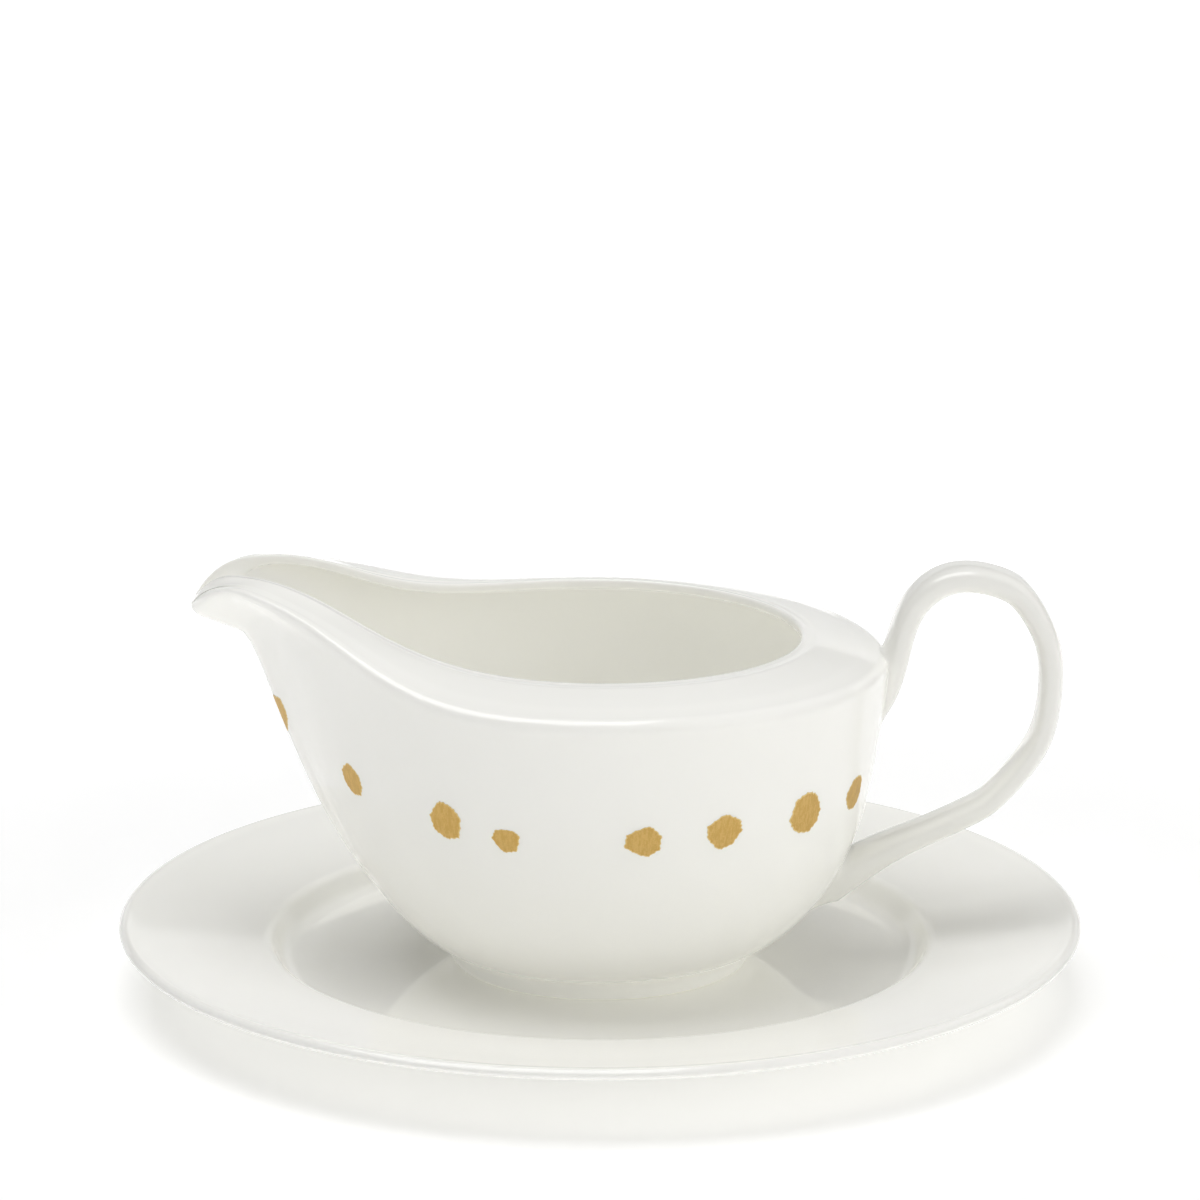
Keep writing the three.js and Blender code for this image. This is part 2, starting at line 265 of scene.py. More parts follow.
def glazed_china(name, pool_height=None, ground_height=None, translucency=None, painted_glow=None):
    """White bone china under a clear glaze. The glaze pools a little below pool_height, and the
    foot is ground bare below ground_height, both in metres above the table."""
    pool_run = 3 * MM
    ground_run = 0.25 * MM
    ground_roughness = 0.45
    relief_depth = 0.03 * MM
    look = settings().look
    translucency = look.translucency if translucency is None else translucency
    painted_glow = look.painted_glow if painted_glow is None else painted_glow
    graph = Graph(bpy.data.materials.new(name))
    height = graph.node("ShaderNodeSeparateXYZ", {}, {"Vector": graph.place()}, "Z")
    cloud = graph.between(graph.noise(18.0, 3.0), 0.35, 0.7)
    pooled = 0.35 * cloud
    if pool_height is not None:
        pooled = pooled + 0.65 * graph.between(height, pool_height, pool_height - pool_run)
    tone = graph.mix(pooled, look.body, look.pooled)
    ripple = graph.noise(55.0, 1.0)
    peel = graph.noise(900.0, 1.0)
    relief = 0.85 * ripple + 0.15 * peel
    rough = graph.between(graph.noise(240.0, 4.0), 0.3, 0.8, look.gloss * 0.8, look.gloss * 1.5)
    if ground_height is not None:
        ground = graph.between(height, ground_height + ground_run, ground_height)
        tone = graph.mix(ground, tone, look.bare)
        rough = rough + ground_roughness * ground
    return graph.finish(
        Base_Color=tone,
        Roughness=rough,
        Normal=graph.bump(relief, relief_depth),
        IOR=1.52,
        # Painted glow: the china gives off a faint warm light of its own, though it is no lamp
        Emission_Color=(1, 0.99, 0.93),
        Emission_Strength=painted_glow,
        Subsurface_Weight=translucency,
        Subsurface_Radius=(1.0, 1.0, 0.95),
        Subsurface_Scale=3.5 * MM,
    )


def burnished_gold(name, thinness):
    """Matt gold, dabbed on and burnished: fine upright streaks and paler, thinner places."""
    relief_depth = 0.02 * MM
    look = settings().look
    graph = Graph(bpy.data.materials.new(name))
    streaks = graph.noise(1500.0, 3.0, 0.6, stretch=(1, 1, 0.22))
    grain = graph.noise(3800.0, 2.0)
    patches = graph.noise(330.0, 2.0)
    relief = 0.7 * streaks + 0.3 * grain
    light = graph.between(relief, 0.42, 0.6)
    tone = graph.mix(light, look.gold, look.gold_light)
    tone = graph.mix(thinness, tone, look.gold_thin)
    return graph.finish(
        Base_Color=tone,
        Metallic=graph.between(patches, 0.2, 0.8, 0.72, 0.86),
        Roughness=graph.between(streaks, 0.3, 0.7, 0.42, 0.6),
        Normal=graph.bump(relief, relief_depth),
    )


def pale_floor(name):
    """A white table, lit from below except round the middle, where soft shadows show."""
    studio = settings().studio
    white = (0.93, 0.93, 0.93)
    whiter = (0.945, 0.945, 0.945)
    graph = Graph(bpy.data.materials.new(name))
    tone = graph.mix(graph.between(graph.noise(9.0, 3.0), 0.3, 0.7), white, whiter)
    rough = graph.between(graph.noise(60.0, 3.0), 0.3, 0.7, 0.55, 0.62)
    away = graph.node("ShaderNodeVectorMath", {"operation": "LENGTH"}, {0: graph.place()}, "Value")
    ring = graph.between(away, 0.12, 0.6) * graph.between(away, 3.6, 2.4)
    lit = graph.mix(ring, (studio.floor_glow,) * 3, (studio.floor_far_glow,) * 3)
    return graph.finish(Base_Color=tone, Roughness=rough, Emission_Color=lit, Emission_Strength=1.0)


# ---- Mesh work ----


def smooth_mesh(name, bm):
    """Ends a bmesh as a mesh with smooth faces."""
    for face in bm.faces:
        face.smooth = True
    mesh = bpy.data.meshes.new(name)
    bm.to_mesh(mesh)
    bm.free()
    return mesh


def linked(name, data):
    """A new object in the scene."""
    made = bpy.data.objects.new(name, data)
    bpy.context.scene.collection.objects.link(made)
    return made


def new_piece(name, bm, materials, body, nodes):
    """Ends a bmesh as a smooth piece that rides on a body and stands for its CAD nodes."""
    bmesh.ops.recalc_face_normals(bm, faces=bm.faces)
    mesh = smooth_mesh(name, bm)
    for material in materials:
        mesh.materials.append(material)
    piece = linked(name, mesh)
    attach(piece, body)
    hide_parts(*nodes)
    return piece


def loft(bm, rings):
    """Bridges a stack of closed rings of points, and draws each end together to one point.
    Returns the faces between each ring and the next."""
    loops = []
    for ring in rings:
        verts = bmesh.ops.create_circle(bm, cap_ends=False, segments=len(ring), radius=1)["verts"]
        for vert, point in zip(verts, ring):
            vert.co = point
        edges = sorted({edge for vert in verts for edge in vert.link_edges}, key=lambda e: e.index)
        loops.append((verts, edges))
    bands = [
        bmesh.ops.bridge_loops(bm, edges=first + second)["faces"]
        for (_, first), (_, second) in zip(loops, loops[1:])
    ]
    for verts in (loops[0][0], loops[-1][0]):
        middle = sum((v.co for v in verts), Vector()) / len(verts)
        bmesh.ops.pointmerge(bm, verts=verts, merge_co=middle)
    return bands


def turned(profile, steps):
    """A bmesh of a profile of (radius, height) points turned about the upright axis."""
    bm = bmesh.new()
    verts = [bm.verts.new((radius, 0, height)) for radius, height in profile]
    edges = [bm.edges.new(pair) for pair in zip(verts, verts[1:])]
    if profile[0][0] > 0:
        edges.append(bm.edges.new((verts[-1], verts[0])))
    bmesh.ops.spin(
        bm,
        geom=verts + edges,
        cent=(0, 0, 0),
        axis=(0, 0, 1),
        angle=2 * math.pi,
        steps=steps,
        use_merge=True,
    )
    bmesh.ops.remove_doubles(bm, verts=bm.verts, dist=SAME_PLACE)
    return bm


def arc(before, corner, after, reach, steps):
    """Points of a rounded corner, with one holding point on each side of it."""
    most = 0.46
    holding = 0.06
    to_before = before - corner
    to_after = after - corner
    start = corner + to_before * min(reach / max(to_before.length, TINY), most)
    end = corner + to_after * min(reach / max(to_after.length, TINY), most)
    curve = []
    for i in range(steps + 1):
        t = i / steps
        curve.append(start * (1 - t) ** 2 + corner * 2 * t * (1 - t) + end * t**2)
    return [start.lerp(before, holding), *curve, end.lerp(after, holding)]


def rounded(corners, steps=8):
    """A profile of (radius, height, rounding) corners as points, with its ends left as they are."""
    points = [Vector((radius, height)) for radius, height, _ in corners]
    made = [points[0]]
    for i in range(1, len(points) - 1):
        made.extend(arc(points[i - 1], points[i], points[i + 1], corners[i][2], steps))
    made.append(points[-1])
    return [tuple(p) for p in made]


# ---- Shape of the boat, by the plan angle from the handle ----

BELLY_FULLNESS = 3.6
BELLY_TUCK = 0.66
FLANK_LEAN = 0.24  # share of a plain cone in the flank
SPOUT_SOFTNESS = 6  # degrees round the tip
SPOUT_FADE = 20  # degrees
SPOUT_LEAN = 1.35
FLARE_FADE = 16  # degrees
FLARE_SHARPNESS = 32
CHANNEL_SOFTNESS = 2.5  # degrees
CHANNEL_FADE = 15.5  # degrees
AROUND_BOAT = 208  # sections round the bowl and its foot ring
AROUND_SAUCER = 256
SWEEP_MIDDLE = 55 * MM
SWEEP_LENGTH = 9.6 * MM
DROOP_LENGTH = 15 * MM


def lerp(a, b, t):
    return a + (b - a) * t


def smoothstep(x, low, high):
    t = min(max((x - low) / (high - low), 0), 1)
    return t * t * (3 - 2 * t)


def pull(from_tip, soft, fade):
    """How strongly the spout pulls at an angle: 1 at the tip, fading round the bowl."""
    return math.exp(-(math.hypot(from_tip, soft) - soft) / fade)


def degrees_from_tip(angle):
    return 180 - abs(math.degrees(math.atan2(math.sin(angle), math.cos(angle))))


def polar(radius, angle, height):
    return Vector((radius * math.cos(angle), radius * math.sin(angle), settings().saucer.floor + height))


def flank_radius(angle, share):
    """Plan radius of the flank at a share of its height."""
    boat = settings().boat
    from_tip = degrees_from_tip(angle)
    steady_reach = boat.spout_reach - boat.bowl_radius - boat.spout_flare
    steady = steady_reach * pull(from_tip, SPOUT_SOFTNESS, SPOUT_FADE) * share**SPOUT_LEAN
    flare = boat.spout_flare * math.exp(-((from_tip / FLARE_FADE) ** 2)) * share**FLARE_SHARPNESS
    belly = (1 - (1 - share) ** BELLY_FULLNESS) ** BELLY_TUCK
    run = boat.bowl_radius - boat.foot_radius
    return boat.foot_radius + run * lerp(belly, share, FLANK_LEAN) + steady + flare


def side_height(x):
    """Height of the shoulder's edge in side view: level, sweeping up to the spout's drooping tip."""
    boat = settings().boat
    sweep = boat.spout_rise / (1 + math.exp((x + SWEEP_MIDDLE) / SWEEP_LENGTH))
    droop_start = boat.spout_reach - DROOP_LENGTH
    droop = boat.spout_droop * (max(0, -x - droop_start) / DROOP_LENGTH) ** 3
    back = boat.back_drop * (max(0, x) / boat.bowl_radius) ** 2
    return boat.bowl_height + sweep - droop - back


def edge_point(angle):
    """The outer edge of the shoulder, before it is rounded."""
    radius = flank_radius(angle, 1)
    return polar(radius, angle, side_height(radius * math.cos(angle)))


def opening_point(angle):
    boat = settings().boat
    pulled = pull(degrees_from_tip(angle), CHANNEL_SOFTNESS, CHANNEL_FADE)
    radius = boat.opening_radius + (boat.channel_reach - boat.opening_radius) * pulled
    shoulder = flank_radius(angle, 1) - radius
    return polar(radius, angle, side_height(radius * math.cos(angle)) + shoulder * boat.shoulder_slope)


def flank_point(angle, share):
    boat = settings().boat
    top = edge_point(angle).z - settings().saucer.floor
    return polar(flank_radius(angle, share), angle, lerp(boat.foot_height, top, share))


def flank_normal(angle, share):
    step = 1e-3
    along = flank_point(angle + step, share) - flank_point(angle - step, share)
    up = flank_point(angle, min(share + step, 1)) - flank_point(angle, max(share - step, 0))
    return along.cross(up).normalized()


def section_angles(count):
    """The angles of the loft's sections, closer together round the spout."""
    crowding = 0.55
    even = [2 * math.pi * i / count for i in range(count)]
    return [angle + crowding * math.sin(angle) for angle in even]


def bowl_section(angle, outside, inside):
    """One section through the wall, from under the foot to the floor inside."""
    boat = settings().boat
    arc_start = 0.9  # share of the flank where its edge begins to turn
    thin_lip_reach = 4 * MM
    inner_corner_round = 1.5 * MM
    floor_height = boat.foot_height + boat.wall
    edge = flank_point(angle, 1)
    lip = opening_point(angle)
    shoulder = max((edge - lip).length, 0.1 * MM)
    lip_depth = boat.wall * (1 - math.exp(-shoulder / thin_lip_reach))
    lip_under = lip - Vector((0, 0, lip_depth))
    drop = (edge.z - settings().saucer.floor) - boat.foot_height
    inner_top = 1 - boat.wall / drop

    def inner(share):
        at = share * inner_top
        return flank_point(angle, at) - flank_normal(angle, at) * boat.wall

    corner = inner(1)
    crown = boat.shoulder_crown * smoothstep(shoulder, 2 * MM, 14 * MM)
    band = [
        edge.lerp(lip, t) + Vector((0, 0, crown * 4 * t * (1 - t)))
        for t in (0.3, 0.4, 0.5, 0.6, 0.7, 0.8, 0.88)
    ]
    return [
        polar(boat.foot_radius * 0.4, angle, boat.foot_height),
        polar(boat.foot_radius * 0.96, angle, boat.foot_height),
        *[flank_point(angle, share) for share in outside],
        *arc(flank_point(angle, arc_start), edge, lip, boat.edge_round, 9),
        *band,
        *arc(edge, lip, lip_under, boat.lip_round, 6),
        *arc(lip, lip_under, corner, boat.lip_round, 6),
        *arc(lip_under, corner, inner(arc_start), inner_corner_round, 4),
        *[inner(share) for share in inside],
        polar(boat.foot_radius - boat.wall, angle, floor_height + 0.1 * MM),
        polar(boat.foot_radius * 0.7, angle, floor_height),
        polar(boat.foot_radius * 0.3, angle, floor_height),
    ]


def make_bowl():
    boat = settings().boat
    low_shares = [0.0, 0.006, 0.016, 0.03, 0.048, 0.07, 0.096]
    outside = [*low_shares, *np.linspace(0.125, 0.9, 27), 0.918, 0.932]
    inside = [*np.linspace(0.93, 0.12, 27), *low_shares[:1:-1]]
    sections = [bowl_section(angle, outside, inside) for angle in section_angles(AROUND_BOAT)]
    rings = [[section[i] for section in sections] for i in range(len(sections[0]))]
    bm = bmesh.new()
    loft(bm, rings)
    foot_top = settings().saucer.floor + boat.foot_height
    china = glazed_china("glazed_china_bowl", pool_height=foot_top + 3.5 * MM)
    return new_piece("bowl", bm, [china], "boat", ["boat_bowl"])


def make_saucer():
    s = settings().saucer
    under = s.floor - s.floor_thickness
    well_edge = s.floor + s.well_depth
    wall_foot = s.well_radius - s.well_wall_run
    foot_inner = s.foot_radius - s.foot_width
    middle = lerp(s.well_radius, s.radius, 0.5)
    sag = 0.25 * MM
    profile = rounded(
        [
            (0, under, 0),
            (foot_inner * 0.5, under, 4 * MM),
            (foot_inner - 0.7 * MM, under, 0.8 * MM),
            (foot_inner + 0.5 * MM, 0, 0.6 * MM),
            (s.foot_radius - 0.5 * MM, 0, 0.6 * MM),
            (s.foot_radius + 0.8 * MM, under + 0.1 * MM, 1.2 * MM),
            (wall_foot + 1.6 * MM, s.floor - 1.2 * MM, 2.4 * MM),
            (s.well_radius + 1.8 * MM, well_edge - s.lip_thickness - 0.3 * MM, 2.4 * MM),
            (middle, lerp(well_edge, s.height, 0.5) - s.lip_thickness - sag, 10 * MM),
            (s.radius - 1.2 * MM, s.height - s.lip_thickness, 2 * MM),
            (s.radius + 0.15 * MM, s.height - s.lip_thickness * 0.5, 1 * MM),
            (s.radius - 1.4 * MM, s.height + 0.1 * MM, 1.4 * MM),
            (s.radius - 3.6 * MM, s.height - 0.55 * MM, 1.4 * MM),
            (middle, lerp(well_edge, s.height, 0.5) - sag, 10 * MM),
            (s.well_radius + 0.2 * MM, well_edge, 1.5 * MM),
            (wall_foot - 0.2 * MM, s.floor, 2.6 * MM),
            (wall_foot * 0.6, s.floor, 5 * MM),
            (0, s.floor, 0),
        ]
    )
    bm = turned(profile, AROUND_SAUCER)
    # The saucer gives off a faint painted glow of its own
    china = glazed_china("glazed_china_saucer", ground_height=0.12 * MM, translucency=0.3, painted_glow=0.06)
    return new_piece("saucer_dish", bm, [china], "root", ["saucer"])


def make_foot_ring():
    boat = settings().boat
    base = settings().saucer.floor + 0.02 * MM
    top = settings().saucer.floor + boat.foot_height
    inner = boat.foot_bottom_radius - boat.foot_width
    profile = rounded(
        [
            (boat.foot_radius - boat.foot_width, top + 0.3 * MM, 0),
            (inner, lerp(base, top, 0.6), 1 * MM),
            (inner, base, 0.7 * MM),
            (boat.foot_bottom_radius, base, 0.7 * MM),
            (boat.foot_radius - 0.35 * MM, lerp(base, top, 0.7), 1 * MM),
            (boat.foot_radius + 0.9 * MM, top + 0.25 * MM, 0.6 * MM),
            (boat.foot_radius + 0.6 * MM, top + 0.9 * MM, 0),
        ],
        steps=6,
    )
    bm = turned(profile, AROUND_BOAT)
    china = glazed_china(
        "glazed_china_foot",
        pool_height=top + 2 * MM,
        ground_height=base + 0.1 * MM,
        translucency=0.1,
        # The foot ring gives off a stronger painted glow, lifting it out of the shade under the bowl
        painted_glow=0.16,
    )
    return new_piece("boat_foot", bm, [china], "boat", ["boat_foot_ring"])


# ---- Handle ----

ROUND_HANDLE = 44
ALONG_HANDLE = 132


def spline(points, count):
    """count points along a smooth curve through the given points."""
    through = np.array(points)
    number = len(through)
    system = np.eye(number) * 4 + np.eye(number, k=1) + np.eye(number, k=-1)
    system[0, :2] = (6, 0)
    system[-1, -2:] = (0, 6)
    control = np.linalg.solve(system, through * 6)
    control = np.vstack([2 * control[0] - control[1], control, 2 * control[-1] - control[-2]])
    made = []
    for place in np.linspace(0, number - 1, count):
        i = min(int(place), number - 2)
        t = place - i
        weights = ((1 - t) ** 3, 3 * t**3 - 6 * t**2 + 4, -3 * t**3 + 3 * t**2 + 3 * t + 1, t**3)
        made.append(np.array(weights) @ control[i : i + 4] / 6)
    return np.array(made)


def even_spacing(points, count):
    """The same line with its points evenly spaced."""
    steps = np.r_[0, np.cumsum(np.linalg.norm(np.diff(points, axis=0), axis=1))]
    wanted = np.linspace(0, steps[-1], count)
    return np.stack([np.interp(wanted, steps, points[:, k]) for k in range(points.shape[1])], axis=1)


def handle_line():
    """The strap's middle line as (x, height above the saucer's floor), upper root first."""
    handle = settings().handle
    boat = settings().boat
    r = boat.bowl_radius / MM
    h = boat.bowl_height / MM
    reach = handle.reach / MM
    top = handle.top / MM
    return [
        (r - 6.5, h - 18),
        (r - 1.2, h - 9.5),
        (r + 1.6, h - 0.5),
        (r + 4.2, h + 8.2),
        (r + 9.7, top - 2.1),
        (lerp(r, reach, 0.47), top),
        (lerp(r, reach, 0.68), top - 1.5),
        (lerp(r, reach, 0.84), top - 5.6),
        (reach - 1, top - 15),
        (reach, top - 24.5),
        (reach - 0.9, top - 33),
        (reach - 4, top - 41.3),
        (reach - 11.1, top - 50.3),
        (r + 19.3, 34.6),
        (r + 9, 29.7),
        (r - 0.5, 25.3),
        (r - 9, 20.3),
        (r - 18, 14.6),
    ]


def in_bowl(point):
    """Depth of a point below the boat's outer surface, along its radius or the height; positive inside."""
    boat = settings().boat
    angle = math.atan2(point[1], point[0])
    radius = math.hypot(point[0], point[1])
    edge = edge_point(angle)
    underside = settings().saucer.floor + boat.foot_height
    share = (point[2] - underside) / (edge.z - underside)
    shoulder = edge.z + (flank_radius(angle, 1) - radius) * boat.shoulder_slope - point[2]
    return min(flank_radius(angle, min(max(share, 0), 1)) - radius, shoulder)


def trimmed(line, depth):
    """The stretch of a line that is outside the bowl, reaching depth into it at both ends."""
    middle = len(line) // 2

    def crossing(indices):
        last = indices[0]
        for i in indices:
            if in_bowl(line[i]) > depth:
                a, b = in_bowl(line[last]), in_bowl(line[i])
                return last + (i - last) * (depth - a) / (b - a)
            last = i
        return float(last)

    start = crossing(range(middle, -1, -1))
    end = crossing(range(middle, len(line)))
    places = np.linspace(start, end, ALONG_HANDLE)
    index = np.arange(len(line))
    return np.stack([np.interp(places, index, line[:, k]) for k in range(3)], axis=1)


def luting(line, outward, surface, reach, steps=7):
    """Points of the fillet from the end of a line out on to the bowl's surface."""
    landing_depth = 0.06 * MM
    buried_depth = 0.9 * MM
    end = Vector(line[-1])
    inward = (end - Vector(line[-4])).normalized()
    place, normal, _, _ = surface.find_nearest(end)
    spread = outward - normal * outward.dot(normal)
    spread = (spread + inward - normal * inward.dot(normal)).normalized()
    foot, foot_normal, _, _ = surface.find_nearest(end + spread * reach)
    landing = foot - foot_normal * landing_depth
    lengths = np.r_[0, np.cumsum(np.linalg.norm(np.diff(line[::-1], axis=0), axis=1))]
    keep = int(np.searchsorted(lengths, reach))
    start = Vector(line[::-1][keep])
    curve = []
    for i in range(1, steps + 1):
        t = i / steps
        curve.append(start * (1 - t) ** 2 + place * 2 * t * (1 - t) + landing * t**2)
    buried = foot - foot_normal * buried_depth
    return line[: len(line) - keep], [*curve, buried]


def strap_lines():
    """Lines along the strap's surface, one for each point of its section, cut off inside the bowl."""
    handle = settings().handle
    base = settings().saucer.floor
    squareness = 0.68  # 1 gives a round section, 0 a square one
    root_depth = 0.1 * MM
    line = even_spacing(spline(handle_line(), 400), 260) * MM
    tangents = np.gradient(line, axis=0)
    tangents /= np.linalg.norm(tangents, axis=1)[:, None]
    lines = []
    for j in range(ROUND_HANDLE):
        turn = 2 * math.pi * j / ROUND_HANDLE
        across, out = (math.copysign(abs(f(turn)) ** squareness, f(turn)) for f in (math.cos, math.sin))
        points = []
        for t, (x, z), tangent in zip(np.linspace(0, 1, len(line)), line, tangents):
            upper = 1 - smoothstep(t, 0.04, 0.2)
            lower = smoothstep(t, 0.8, 1)
            crown = smoothstep(t, 0.08, 0.25) * (1 - smoothstep(t, 0.36, 0.56)) if out < 0 else 0
            half_width = handle.width / 2 * (1 + 0.2 * upper + 0.3 * lower)
            half_thickness = handle.thickness / 2 * (1 + 0.25 * upper + 0.7 * lower) * (1 + 0.36 * crown)
            x -= tangent[1] * out * half_thickness
            z += tangent[0] * out * half_thickness
            points.append((x, across * half_width, base + z))
        lines.append(trimmed(np.array(points), root_depth))
    return lines


def outward(lines, points, index):
    """Direction from the middle of the strap to one of its lines, at an index along it."""
    middle = sum((Vector(other[index]) for other in lines), Vector()) / len(lines)
    return (Vector(points[index]) - middle).normalized()


def make_handle(bowl):
    handle = settings().handle
    beside_root = 6
    surface = BVHTree.FromObject(bowl, bpy.context.evaluated_depsgraph_get())
    lines = strap_lines()
    whole = []
    for points in lines:
        upper_out = outward(lines, points, beside_root)
        lower_out = outward(lines, points, -beside_root - 1)
        kept, lower_end = luting(points, lower_out, surface, handle.lower_fillet)
        kept, upper_end = luting(kept[::-1], upper_out, surface, handle.upper_fillet)
        body = even_spacing(kept[::-1], 150)
        whole.append([*upper_end[::-1], *[Vector(p) for p in body], *lower_end])
    rings = [[points[i] for points in whole] for i in range(len(whole[0]))]
    bm = bmesh.new()
    loft(bm, rings)
    # The handle gives off only a slight painted glow of its own
    china = glazed_china("glazed_china_handle", translucency=0.1, painted_glow=0.03)
    return new_piece("handle", bm, [china], "boat", ["boat_handle"])


# ---- Gold spots ----

# Rings of a spot, as (share of its outline, share of how far it stands out).
SPOT_RINGS = ((0.15, 1), (0.35, 1), (0.6, 1), (0.8, 1), (0.94, 1), (0.975, 0.9), (1, 0.5), (1, -0.6))
SPOT_THIN_BANDS = (4, 5)


def outline(corners, turn):
    """Reach of a ragged patch in one direction: flat nibbled sides between uneven corners."""
    for (first, near), (second, far) in zip(corners, corners[1:]):
        if first <= turn <= second:
            straight = near * far * math.sin(second - first)
            straight /= near * math.sin(turn - first) + far * math.sin(second - turn)
            along = (turn - first) / (second - first)
            scallops = 0.06 * abs(math.sin(2.5 * math.pi * along + first))
            nicks = 0.022 * math.sin(19 * turn + 9 * first) * math.sin(11 * turn)
            return lerp(1, straight, 0.8) * (1.05 - scallops - nicks)
    return 1


def ragged_corners(random, ragged):
    """The corners of one patch as (direction, reach), the first one repeated at the end."""
    number = int(random.integers(6, 10))
    start = random.uniform(0, 2 * math.pi / number)
    shifts = random.uniform(-0.38, 0.38, number) * ragged
    turns = [start + 2 * math.pi * (i + shift) / number for i, shift in enumerate(shifts)]
    reaches = list(1.08 - random.uniform(0, 0.3, number) * ragged)
    return list(zip([*turns, turns[0] + 2 * math.pi], [*reaches, reaches[0]]))


def make_spot(node, corners, golds):
    """One spot, laid on the flank where its CAD node is."""
    boat = settings().boat
    proud = settings().spots.proud
    steps = 120
    heart_depth = 0.3 * MM
    low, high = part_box(node)
    centre = (low + high) / 2
    angle = math.atan2(centre.y, centre.x)
    underside = settings().saucer.floor + boat.foot_height
    flank_height = edge_point(angle).z - underside
    share = (centre.z - underside) / flank_height
    half_height = (high.z - low.z) / 2
    half_width = math.hypot(high.x - low.x, high.y - low.y) / 2
    radius = flank_radius(angle, share)
    turns = [corners[0][0] + 2 * math.pi * j / steps for j in range(steps)]
    rings = []
    for scale, lift in SPOT_RINGS:
        ring = []
        for turn in turns:
            reach = scale * outline(corners, turn)
            a = angle + reach * half_width * math.cos(turn) / radius
            s = share + reach * half_height * math.sin(turn) / flank_height
            ring.append(flank_point(a, s) + flank_normal(a, s) * proud * lift)
        rings.append(ring)
    heart = flank_point(angle, share) - flank_normal(angle, share) * heart_depth
    rings.append([heart] * steps)
    bm = bmesh.new()
    bands = loft(bm, rings)
    for i in SPOT_THIN_BANDS:
        for face in bands[i]:
            face.material_index = 1
    return new_piece(node.replace("gold_spot", "gold_dab"), bm, golds, "boat", [node])


# ---- Studio ----


def make_floor():
    """A pale sweep that runs level under the object and curves up far behind it."""
    half = 4.0
    step_length = 0.3
    steps = 8
    bm = bmesh.new()
    bmesh.ops.create_grid(bm, x_segments=2, y_segments=2, size=half)
    bmesh.ops.translate(bm, verts=bm.verts, vec=(0, 0, -0.02 * MM))
    back = [edge for edge in bm.edges if all(vert.co.y > half - 0.1 for vert in edge.verts)]
    for i in range(steps):
        turn = math.pi / 2 * (i + 1) / steps
        step = Vector((0, step_length * math.cos(turn), step_length * math.sin(turn)))
        made = bmesh.ops.extrude_edge_only(bm, edges=back)["geom"]
        bmesh.ops.translate(bm, verts=[v for v in made if isinstance(v, bmesh.types.BMVert)], vec=step)
        back = [e for e in made if isinstance(e, bmesh.types.BMEdge)]
    mesh = smooth_mesh("floor", bm)
    mesh.materials.append(pale_floor("pale_floor"))
    linked("floor", mesh)


def make_softbox(name, place, aim, width, height, power, tint):
    light = bpy.data.lights.new(name, "AREA")
    light.shape = "RECTANGLE"
    light.size = width
    light.size_y = height
    light.energy = power
    light.color = tint
    box = linked(name, light)
    box.location = place
    box.rotation_euler = (Vector(aim) - Vector(place)).to_track_quat("-Z", "Y").to_euler()


def make_surround(name, strength):
    """A room that is dimmer on the spout's side and in front, and dark low behind the table."""
    behind_loss = 0.65
    ahead_loss = 0.25
    graph = Graph(bpy.data.worlds.new(name))
    toward = graph.node("ShaderNodeTexCoord", output="Generated")
    x, y, z = (graph.node("ShaderNodeSeparateXYZ", {}, {"Vector": toward}, axis) for axis in "XYZ")
    behind = graph.between(y, -0.2, 0.5) * graph.between(z, 0.75, 0.2)
    ahead = graph.between(y, -0.1, -0.8)
    sideways = strength * graph.between(x, -0.9, 0.9, 0.3, 1.2)
    power = sideways * (1 - behind_loss * behind) * (1 - ahead_loss * ahead)
    room = graph.node("ShaderNodeBackground", {}, {"Color": (1, 1, 1), "Strength": power})
    graph.node("ShaderNodeOutputWorld", {}, {"Surface": room})
    return graph.owner


def make_studio():
    studio = settings().studio
    scene = bpy.context.scene
    make_floor()
    white = (1, 1, 1)
    warm = (1, 0.97, 0.93)
    make_softbox("overhead_softbox", (-0.3, 0.0, 1.7), (0, 0, 0), 1.3, 1.3, studio.overhead, white)
    make_softbox("handle_side_softbox", (1.4, -1.0, 0.8), (0, 0, 0.05), 1.4, 1.2, studio.side, warm)
    make_softbox("front_softbox", (0.5, -2.2, 0.35), (0, 0, 0.02), 2.0, 0.6, studio.front, white)
    scene.world = make_surround("surround", studio.surround)
    scene.view_settings.view_transform = "Standard"
    camera = bpy.data.cameras.new("camera")
    camera.lens = studio.lens
    camera.sensor_width = 36
    eye = linked("camera", camera)
    rim = settings().saucer.height
    run = studio.distance * math.cos(studio.elevation)
    eye.location = (0, -run, rim + studio.distance * math.sin(studio.elevation))
    eye.rotation_euler = (math.pi / 2 - (studio.elevation - studio.headroom), 0, 0)
    scene.camera = eye


# ---- Operators, panel and registration ----


class GRAVY_OT_saucer(bpy.types.Operator):
    """Turn the saucer from its profile"""

    bl_idname = "gravy.saucer"
    bl_label = "Saucer"

    def execute(self, context):
        make_saucer()
        return {"FINISHED"}


class GRAVY_OT_bowl(bpy.types.Operator):
    """Loft the bowl with its shoulder and spout"""

    bl_idname = "gravy.bowl"
    bl_label = "Bowl"

    def execute(self, context):
        make_bowl()
        return {"FINISHED"}


class GRAVY_OT_foot_ring(bpy.types.Operator):
    """Turn the boat's foot ring"""

    bl_idname = "gravy.foot_ring"
    bl_label = "Foot ring"

    def execute(self, context):
        make_foot_ring()
        return {"FINISHED"}


class GRAVY_OT_handle(bpy.types.Operator):
    """Draw the strap handle and lute it to the bowl"""

    bl_idname = "gravy.handle"
    bl_label = "Handle"

    def execute(self, context):
        make_handle(bpy.data.objects["bowl"])
        return {"FINISHED"}


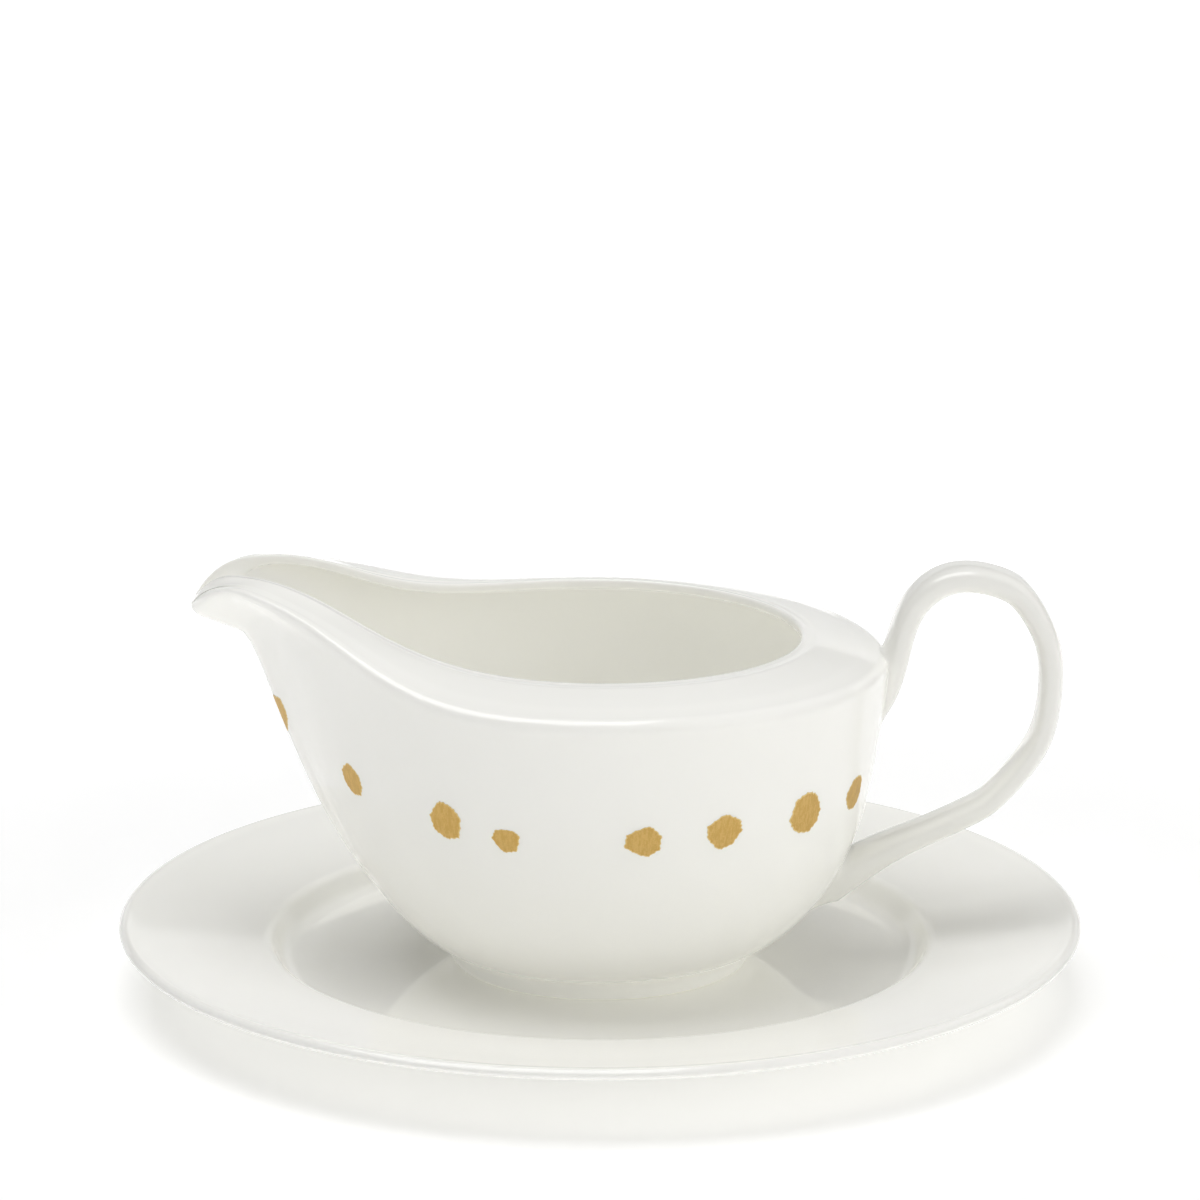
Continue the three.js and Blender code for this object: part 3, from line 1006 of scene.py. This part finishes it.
class GRAVY_OT_gold_spots(bpy.types.Operator):
    """Dab the row of gold spots on the bowl"""

    bl_idname = "gravy.gold_spots"
    bl_label = "Gold spots"

    def execute(self, context):
        golds = [burnished_gold("burnished_gold", 0), burnished_gold("thin_gold", 0.6)]
        random = np.random.default_rng(settings().spots.seed)
        for node in SPOT_NODES:
            make_spot(node, ragged_corners(random, settings().spots.ragged), golds)
        return {"FINISHED"}


class GRAVY_OT_studio(bpy.types.Operator):
    """Set up the floor, the lights and the camera"""

    bl_idname = "gravy.studio"
    bl_label = "Studio"

    def execute(self, context):
        make_studio()
        return {"FINISHED"}


OPERATORS = (
    GRAVY_OT_saucer,
    GRAVY_OT_bowl,
    GRAVY_OT_foot_ring,
    GRAVY_OT_handle,
    GRAVY_OT_gold_spots,
    GRAVY_OT_studio,
)


class GRAVY_PT_sidebar(bpy.types.Panel):
    bl_label = "Gravy boat"
    bl_idname = "GRAVY_PT_sidebar"
    bl_space_type = "VIEW_3D"
    bl_region_type = "UI"
    bl_category = "Gravy boat"

    def draw(self, context):
        for operator in OPERATORS:
            self.layout.operator(operator.bl_idname)
        chosen = context.scene.gravy_boat
        for group in (chosen.saucer, chosen.boat, chosen.handle, chosen.spots, chosen.look, chosen.studio):
            box = self.layout.box()
            for name in group.__annotations__:
                box.prop(group, name)


CLASSES = (
    SaucerSizes,
    BoatSizes,
    HandleSizes,
    SpotSizes,
    ChinaLook,
    StudioLook,
    GravyBoatSettings,
    *OPERATORS,
    GRAVY_PT_sidebar,
)


def register():
    for made in CLASSES:
        bpy.utils.register_class(made)
    bpy.types.Scene.gravy_boat = PointerProperty(type=GravyBoatSettings)


def unregister():
    del bpy.types.Scene.gravy_boat
    for made in reversed(CLASSES):
        bpy.utils.unregister_class(made)


def main():
    register()
    bpy.ops.gravy.studio()
    bpy.ops.gravy.saucer()
    bpy.ops.gravy.bowl()
    bpy.ops.gravy.foot_ring()
    bpy.ops.gravy.handle()
    bpy.ops.gravy.gold_spots()


if __name__ == "__main__":
    main()
